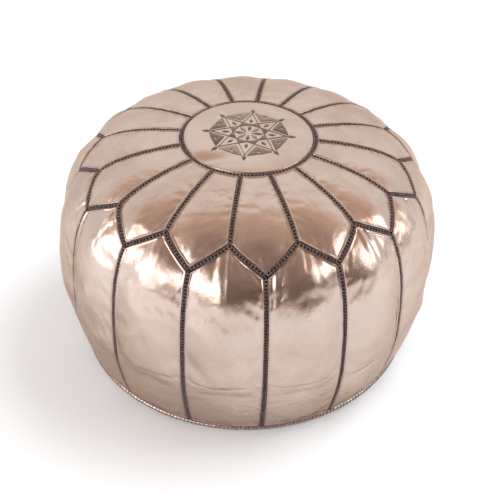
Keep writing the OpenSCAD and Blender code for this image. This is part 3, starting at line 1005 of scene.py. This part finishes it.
def base_half(name, side):
    rng = np.random.default_rng(31)
    rows, cols = 150, 80
    a = np.linspace(math.radians(175.5), math.radians(4.5), rows)
    x = side * BASE_R * np.cos(a)
    reach = BASE_R * np.sin(a)
    x, j = np.meshgrid(x, np.linspace(0, 1, cols), indexing="ij")
    y = side * mix(ZIP_GAP, reach[:, None], j**1.35)
    rim = BASE_R - np.hypot(x, y)
    mouth = np.abs(y) - ZIP_GAP
    z = floor_z(x, y)
    wrinkle = 0.35 * MM * lattice_noise(np.stack([x, y, 0 * x], -1), 30 * MM, 61)
    wrinkle += 0.5 * MM * np.exp(-rim / (14 * MM)) * np.abs(gathers(np.arctan2(x, y) * BASE_R, 12 * MM, rng))
    wrinkle += 0.3 * MM * np.exp(-((mouth - 3 * MM) / (2 * MM)) ** 2)
    z_low = z + np.maximum(wrinkle, 0)
    lower = np.stack([BASE_X + x, y, z_low], -1)
    upper = lower + (0, 0, 2 * MM)
    faces = shell_faces(rows, cols)
    obj = mesh_object(
        name + "_leather", np.concatenate([upper.reshape(-1, 3), lower.reshape(-1, 3)]),
        faces, [BASE_SKIN],
        rub=np.tile(np.exp(-((rim / (4 * MM)) ** 2)).ravel(), 2),
    )
    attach(obj, "pouf")
    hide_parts(name)


def base_ends():
    start = ZIP_LEN / 2 + 4 * MM
    paths = []
    for side in (-1, 1):
        x = side * np.linspace(start, BASE_R - 2 * MM, 40)
        p = np.stack([BASE_X + x, 0 * x, floor_z(x, 0 * x) + 1.0 * MM], -1)
        n = np.tile([0.0, 0.0, -1.0], (len(x), 1))
        paths.append((p, n, False))
    seam_piece("base_end_stitching", "base_centre_seams", paths, 5, half=ZIP_GAP + 0.6 * MM)


def welt():
    """The rolled leather welt round the foot, with whip stitches over it."""
    turns, sides = 360, 20
    t = np.arange(turns) * TAU / turns
    wave = 0.25 * MM * np.sin(61 * t) + 0.15 * MM * np.sin(143 * t + 1)
    around = np.arange(sides) * TAU / sides
    tube = WELT_R - 0.9 * MM
    r = FOOT_R + 0.5 * MM + (tube + wave[:, None]) * np.cos(around)[None]
    z = tube + 0.3 * MM + (tube + wave[:, None]) * np.sin(around)[None]
    x = BASE_X + r * np.sin(t)[:, None]
    y = -r * np.cos(t)[:, None]
    points = np.stack([x, y, z], -1)
    faces = [(a, d, c, b) for a, b, c, d in tube_faces(turns, sides, True)]
    obj = mesh_object("welt", points, faces, [FOIL], rub=np.full(turns * sides, 0.3))
    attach(obj, "pouf")
    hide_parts("base_seam")

    rng = np.random.default_rng(77)
    count = 270
    steps, ring = 9, 6
    arc = np.radians(np.linspace(-35, 125, steps))
    parts = []
    for i in range(count):
        t0 = (i + rng.normal(0, 0.06)) * TAU / count
        slope = 2.2 * MM / FOOT_R
        centre_r = FOOT_R + 0.5 * MM
        rows = []
        for m, w in enumerate(arc):
            tt = t0 + slope * (m / (steps - 1) - 0.5)
            out = np.array([math.sin(tt), -math.cos(tt), 0])
            radial = out * math.cos(w) + (0, 0, math.sin(w))
            c = np.array([BASE_X, 0, tube + 0.3 * MM]) + out * centre_r + radial * (tube + 0.35 * MM)
            lengthwise = np.array([math.cos(tt), math.sin(tt), 0])
            thick = 0.6 * MM * math.sin(math.pi * (0.08 + 0.84 * m / (steps - 1))) ** 0.35
            turn = np.arange(ring)[:, None] * TAU / ring
            rows.append(c + thick * (lengthwise * np.cos(turn) * 1.2 + radial * np.sin(turn)))
        parts.append((np.concatenate(rows), tube_faces(steps, ring), 0))
    points, faces, kinds = join(parts)
    obj = mesh_object("welt_stitching", points, faces, [SEAM_THREAD], kinds)
    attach(obj, "pouf")


# ---------------------------------------------------------------- zip


def cad_copy(cad_node, name, material):
    """A copy of a CAD piece, in its place."""
    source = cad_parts[cad_node]
    obj = source.copy()
    obj.data = source.data.copy()
    obj.name = name
    obj.parent = None
    obj.matrix_world = source.matrix_world.copy()
    bpy.context.scene.collection.objects.link(obj)
    obj.data.materials.clear()
    obj.data.materials.append(material)
    return obj


def rounded_copy(cad_node, body, material, width):
    """A CAD piece with rounded edges, in its place."""
    obj = cad_copy(cad_node, cad_node + "_metal", material)
    weld = obj.modifiers.new("Weld", "WELD")
    weld.merge_threshold = 0.005 * MM
    bevel = obj.modifiers.new("Bevel", "BEVEL")
    bevel.width = width
    bevel.segments = 2
    bevel.limit_method = "ANGLE"
    bevel.angle_limit = math.radians(35)
    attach(obj, body)
    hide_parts(cad_node)


ZIP_THREAD_ROWS = (-11.5, -8.5, 8.5, 11.5)  # mm from the zip's middle
ZIP_THREAD_PITCH = 3.4 * MM
ZIP_STITCH = (3.0 * MM, 0.42 * MM, 0.36 * MM)  # length, width, height


def zip_pieces():
    for name in ("zip_teeth_front", "zip_teeth_back", "zip_top_stops", "zip_bottom_stop"):
        rounded_copy(name, "pouf", BRASS, 0.3 * MM)
    rounded_copy("zip_slider", "slider", BRASS, 0.25 * MM)
    rounded_copy("zip_pull", "pull", BRASS, 0.25 * MM)
    for name in ("zip_tape_front", "zip_tape_back"):
        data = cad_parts[name].data
        data.materials.clear()
        data.materials.append(ZIP_CLOTH)
    x = np.arange(-ZIP_LEN / 2 + 12 * MM, ZIP_LEN / 2 - 11 * MM, ZIP_THREAD_PITCH)
    rows = []
    for y in ZIP_THREAD_ROWS:
        c = np.stack([BASE_X + x, np.full_like(x, y * MM), np.full_like(x, RECESS - 0.05 * MM)], -1)
        one = np.tile([1.0, 0, 0], (len(x), 1))
        rows.append(many(rods(c, one, one[:, [1, 0, 2]], one[:, [1, 2, 0]], *ZIP_STITCH), 0))
    points, faces, kinds = join(rows)
    obj = mesh_object("zip_thread", points, faces, [SEAM_THREAD], kinds)
    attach(obj, "pouf")
    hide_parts("zip_stitching")


def filling():
    """The cloth bag and the stuffing, smoothed and rumpled."""
    pieces = (("stuffing_bag", CALICO, "calico", 0.5), ("stuffing", FIBRE, "stuffing", 0.9))
    for name, material, slot_name, rumple in pieces:
        obj = cad_copy(name, name + "_cloth", material)
        weld = obj.modifiers.new("Weld", "WELD")
        weld.merge_threshold = 0.01 * MM
        smooth = obj.modifiers.new("Smooth", "SUBSURF")
        smooth.levels = smooth.render_levels = 2
        mesh = bpy.data.meshes.new_from_object(obj.evaluated_get(bpy.context.evaluated_depsgraph_get()))
        obj.modifiers.clear()
        obj.data = mesh
        mesh.name = name + "_cloth"
        co = np.empty(len(mesh.vertices) * 3)
        mesh.vertices.foreach_get("co", co)
        co = co.reshape(-1, 3)
        no = np.empty_like(co.ravel())
        mesh.vertices.foreach_get("normal", no)
        deep = np.minimum(lattice_noise(co, 16 * MM, 90), 0) * rumple * MM
        co = co + deep[:, None] * no.reshape(-1, 3) * 0.5
        mesh.vertices.foreach_set("co", co.ravel())
        mesh.polygons.foreach_set("use_smooth", np.ones(len(mesh.polygons), bool))
        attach(obj, "pouf")
        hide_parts(name)


# ---------------------------------------------------------------- camera, light and floor


def direction(azimuth, elevation):
    """Unit vector towards azimuth, from -Y towards +X, and elevation, in degrees."""
    a, e = math.radians(azimuth), math.radians(elevation)
    return Vector((math.sin(a) * math.cos(e), -math.cos(a) * math.cos(e), math.sin(e)))


AIM_HEIGHT = 0.28 * DIAMETER
CAMERA_ELEVATION = 38.9
CAMERA_DISTANCE = 1.45


def camera():
    target = Vector((0, 0, AIM_HEIGHT))
    cam = bpy.data.objects.new("camera", bpy.data.cameras.new("camera"))
    cam.location = target + direction(0, CAMERA_ELEVATION) * CAMERA_DISTANCE
    cam.rotation_euler = (target - cam.location).to_track_quat("-Z", "Y").to_euler()
    cam.data.sensor_width = 36
    cam.data.lens = 71.3
    cam.data.shift_x = 0.0075
    cam.data.shift_y = -0.0316
    cam.data.clip_start = 0.01
    bpy.context.scene.collection.objects.link(cam)
    bpy.context.scene.camera = cam


LAMP_CENTRE = Vector((0, 0, 0.2))
LAMP_AIM = Vector((0, 0, 0.15))
WARM_WHITE = (1.0, 0.99, 0.98)


def softbox(name, azimuth, elevation, distance, size, radiance, colour=(1, 1, 1)):
    data = bpy.data.lights.new(name, "AREA")
    data.shape = "RECTANGLE"
    data.size, data.size_y = size
    data.energy = radiance * size[0] * size[1] * math.pi
    data.color = colour
    obj = bpy.data.objects.new(name, data)
    obj.location = direction(azimuth, elevation) * distance + LAMP_CENTRE
    obj.rotation_euler = (LAMP_AIM - obj.location).to_track_quat("-Z", "Y").to_euler()
    bpy.context.scene.collection.objects.link(obj)
    return obj


OVERHEAD = (0.0, -0.574, 0.819)


def studio():
    softbox("softbox_left", -64, 20, 2.3, (1.5, 1.5), 3.2, WARM_WHITE)
    softbox("softbox_front", -30, 18, 2.3, (1.0, 0.9), 3.0, WARM_WHITE)
    softbox("softbox_right", 74, 24, 2.3, (1.2, 0.9), 3.4, WARM_WHITE)
    softbox("key", 115, 52, 5.0, (3.4, 3.4), 5.0).visible_glossy = False

    # Reflections show a room that is white behind and beside the pouf, and brown overhead and in front. The camera
    # sees plain white.
    world = bpy.data.worlds.new("studio")
    bpy.context.scene.world = world
    world.use_nodes = True
    nodes = world.node_tree.nodes
    towards = node(nodes, "TexCoord").outputs["Generated"]
    overhead = node(nodes, "VectorMath", {0: towards, 1: OVERHEAD}, operation="DOT_PRODUCT")
    room = colour_ramp(nodes, overhead.outputs["Value"], [
        (0.0, (1.2, 1.2, 1.2)), (0.28, (1.17, 1.14, 1.12)), (0.41, (0.94, 0.70, 0.55)), (0.58, (0.76, 0.55, 0.43)),
        (0.83, (0.60, 0.45, 0.38)), (1.0, (0.38, 0.28, 0.25)),
    ])
    split = node(nodes, "SeparateXYZ", {"Vector": towards})
    low = colour_ramp(nodes, split.outputs["Z"], [
        (0.0, (1.0, 1.0, 1.0)), (0.01, (0.11, 0.1, 0.1)), (0.15, (0.17, 0.15, 0.15)), (0.32, (0.38, 0.36, 0.35)),
        (0.72, (1.0, 1.0, 1.0)),
    ])
    facing = remap(nodes, split.outputs["Y"], 0.5, -0.6, 0.12, 1.0)
    shaded = colour_mix(nodes, facing, room, low, "MULTIPLY")
    seen = node(nodes, "LightPath").outputs["Is Camera Ray"]
    fill(nodes["Background"], {"Color": colour_mix(nodes, seen, shaded, (1.0, 1.0, 1.0, 1.0))})
    bpy.context.scene.view_settings.view_transform = "Standard"


def floor():
    """A pale floor that fades into the backdrop, clear from below and open under the pouf to light its base."""
    sides = 96
    i = np.arange(sides)
    turn = i * TAU / sides
    circle = np.stack([np.cos(turn), np.sin(turn), 0 * turn], -1)
    points = np.concatenate([FOOT_R * circle, 3.0 * circle]) + (BASE_X, 0, 0)
    faces = np.stack([i, i + sides, (i + 1) % sides + sides, (i + 1) % sides], -1)
    m, nodes, shader = new_material("floor")
    fill(shader, {"Base Color": (0.86, 0.935, 0.99, 1), "Roughness": 0.9, "Specular IOR Level": 0.1})
    side = node(nodes, "NewGeometry")
    spread = node(nodes, "VectorMath", {0: side.outputs["Position"]}, operation="LENGTH").outputs["Value"]
    gone = maths(nodes, "MAXIMUM", remap(nodes, spread, 1.4, 2.9), side.outputs["Backfacing"])
    clear = node(nodes, "BsdfTransparent").outputs["BSDF"]
    both = node(nodes, "MixShader", {0: gone, 1: shader.outputs["BSDF"], 2: clear})
    fill(nodes["Material Output"], {"Surface": both.outputs["Shader"]})
    mesh_object("floor", points, faces, [m])


# ---------------------------------------------------------------- build

camera()
studio()
floor()
panels = all_panels()
blow_up(panels)
for panel in panels:
    finish_panel(panel)
cover_seams()
medallion()
star()
base_half("base_half_front", -1)
base_half("base_half_back", 1)
base_ends()
welt()
zip_pieces()
filling()
